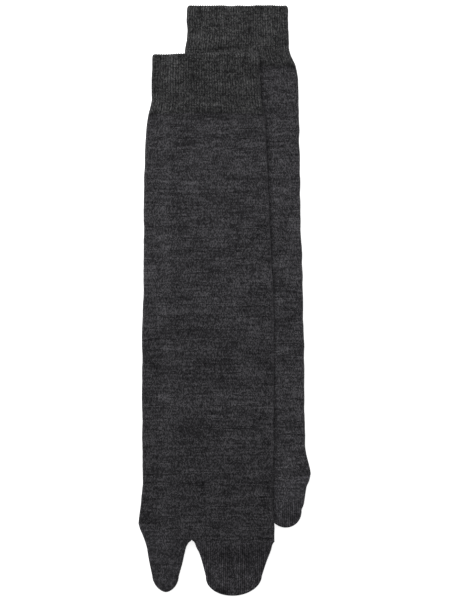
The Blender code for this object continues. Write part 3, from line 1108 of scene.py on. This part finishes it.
class StudioSettings(bpy.types.PropertyGroup):
    """The floor, the light and the camera."""

    floor_colour: bpy.props.FloatVectorProperty(
        name="Floor",
        description="Colour of the floor",
        default=(0.9, 0.9, 0.9), min=0, max=1, subtype="COLOR",
    )
    floor_glow: bpy.props.FloatProperty(
        name="Floor glow",
        description="Light that the floor gives by itself, as a light table does",
        default=0.75, min=0,
    )
    sky_light: bpy.props.FloatProperty(
        name="Sky light",
        description="Strength of the light from all round",
        default=0.42, min=0,
    )
    key_light: bpy.props.FloatProperty(
        name="Key light",
        description="Power of the large lamp beyond the cuffs",
        default=12.8, min=0, unit="POWER",
    )
    camera_height: bpy.props.FloatProperty(
        name="Camera height",
        description="How far above the floor the camera is",
        default=3.0, min=0.5, unit="LENGTH",
    )


class KNITSOCKS_OT_under_sock(bpy.types.Operator):
    """Add the under sock: its cuff, leg, foot and two toe pockets"""

    bl_idname = "knit_socks.under_sock"
    bl_label = "Under sock"

    def execute(self, context):
        add_sock(UNDER_SOCK)
        return {"FINISHED"}


class KNITSOCKS_OT_over_sock(bpy.types.Operator):
    """Add the over sock: its cuff, leg, foot and two toe pockets"""

    bl_idname = "knit_socks.over_sock"
    bl_label = "Over sock"

    def execute(self, context):
        add_sock(OVER_SOCK)
        return {"FINISHED"}


# The photo's frame: metres up its height, and its centre on the floor.
FRAME_HEIGHT = 0.492
FRAME_CENTRE = (0.00029, 0.00074)
TOP_OF_CLOTH = 0.005
SENSOR_HEIGHT = 24
CLIP_END = 50

# The floor and the lamp, in metres.
FLOOR_SIZE, FLOOR_HEIGHT = 8, -0.0002
FLOOR_GRAIN, FLOOR_ROUGHNESS, FLOOR_SPECULAR = 0.02, 0.85, 0.1
KEY_SIZE = (1.5, 0.7)
KEY_PLACE = (-0.42, 0.8, 0.66)
KEY_TURN = (math.radians(-53), 0, math.radians(28))
WHITE = (1, 1, 1, 1)


class KNITSOCKS_OT_studio(bpy.types.Operator):
    """Add the floor, the light and the camera straight above"""

    bl_idname = "knit_socks.studio"
    bl_label = "Studio"

    def execute(self, context):
        values = context.scene.knit_studio
        scene = context.scene
        bpy.ops.mesh.primitive_plane_add(size=FLOOR_SIZE, location=(0, 0, FLOOR_HEIGHT))
        floor = context.object
        floor.name = "floor"
        paper = Recipe("floor_paper")
        grain = paper.noise(paper.node("ShaderNodeTexCoord").outputs["Object"], 3.0)
        paper.surface(
            {
                "Base Color": (*values.floor_colour, 1),
                "Roughness": paper.add_times(grain, FLOOR_GRAIN, FLOOR_ROUGHNESS),
                "Specular IOR Level": FLOOR_SPECULAR,
                "Emission Color": WHITE,
                "Emission Strength": values.floor_glow,
            }
        )
        floor.data.materials.append(paper.material)

        world = bpy.data.worlds.new("studio")
        world.use_nodes = True
        background = world.node_tree.nodes["Background"]
        background.inputs["Color"].default_value = WHITE
        background.inputs["Strength"].default_value = values.sky_light
        scene.world = world

        light = bpy.data.lights.new("key", "AREA")
        light.energy = values.key_light
        light.shape = "RECTANGLE"
        light.size, light.size_y = KEY_SIZE
        key = bpy.data.objects.new("key", light)
        key.location = KEY_PLACE
        key.rotation_euler = KEY_TURN
        scene.collection.objects.link(key)

        lens = bpy.data.cameras.new("camera")
        lens.sensor_fit = "VERTICAL"
        lens.sensor_height = SENSOR_HEIGHT
        lens.lens = SENSOR_HEIGHT * (values.camera_height - TOP_OF_CLOTH) / FRAME_HEIGHT
        lens.clip_end = CLIP_END
        camera = bpy.data.objects.new("camera", lens)
        camera.location = (*FRAME_CENTRE, values.camera_height)
        scene.collection.objects.link(camera)
        scene.camera = camera
        scene.view_settings.view_transform = "Standard"
        scene.view_settings.look = "None"
        return {"FINISHED"}


OPERATORS = (KNITSOCKS_OT_under_sock, KNITSOCKS_OT_over_sock, KNITSOCKS_OT_studio)


class KNITSOCKS_PT_sidebar(bpy.types.Panel):
    """Lists the socks and the studio with their values"""

    bl_idname = "KNITSOCKS_PT_sidebar"
    bl_label = "Knit socks"
    bl_space_type = "VIEW_3D"
    bl_region_type = "UI"
    bl_category = "Knit socks"

    def draw(self, context):
        column = self.layout.column()
        for group in (context.scene.knit_socks, context.scene.knit_studio):
            for name in group.__annotations__:
                column.prop(group, name)
        for operator in OPERATORS:
            column.operator(operator.bl_idname)


CLASSES = (KnitSocksSettings, StudioSettings, *OPERATORS, KNITSOCKS_PT_sidebar)


def register():
    for made in CLASSES:
        bpy.utils.register_class(made)
    bpy.types.Scene.knit_socks = bpy.props.PointerProperty(type=KnitSocksSettings)
    bpy.types.Scene.knit_studio = bpy.props.PointerProperty(type=StudioSettings)


def unregister():
    del bpy.types.Scene.knit_studio
    del bpy.types.Scene.knit_socks
    for made in reversed(CLASSES):
        bpy.utils.unregister_class(made)


def main():
    register()
    bpy.ops.knit_socks.under_sock()
    bpy.ops.knit_socks.over_sock()
    bpy.ops.knit_socks.studio()


if __name__ == "__main__":
    main()
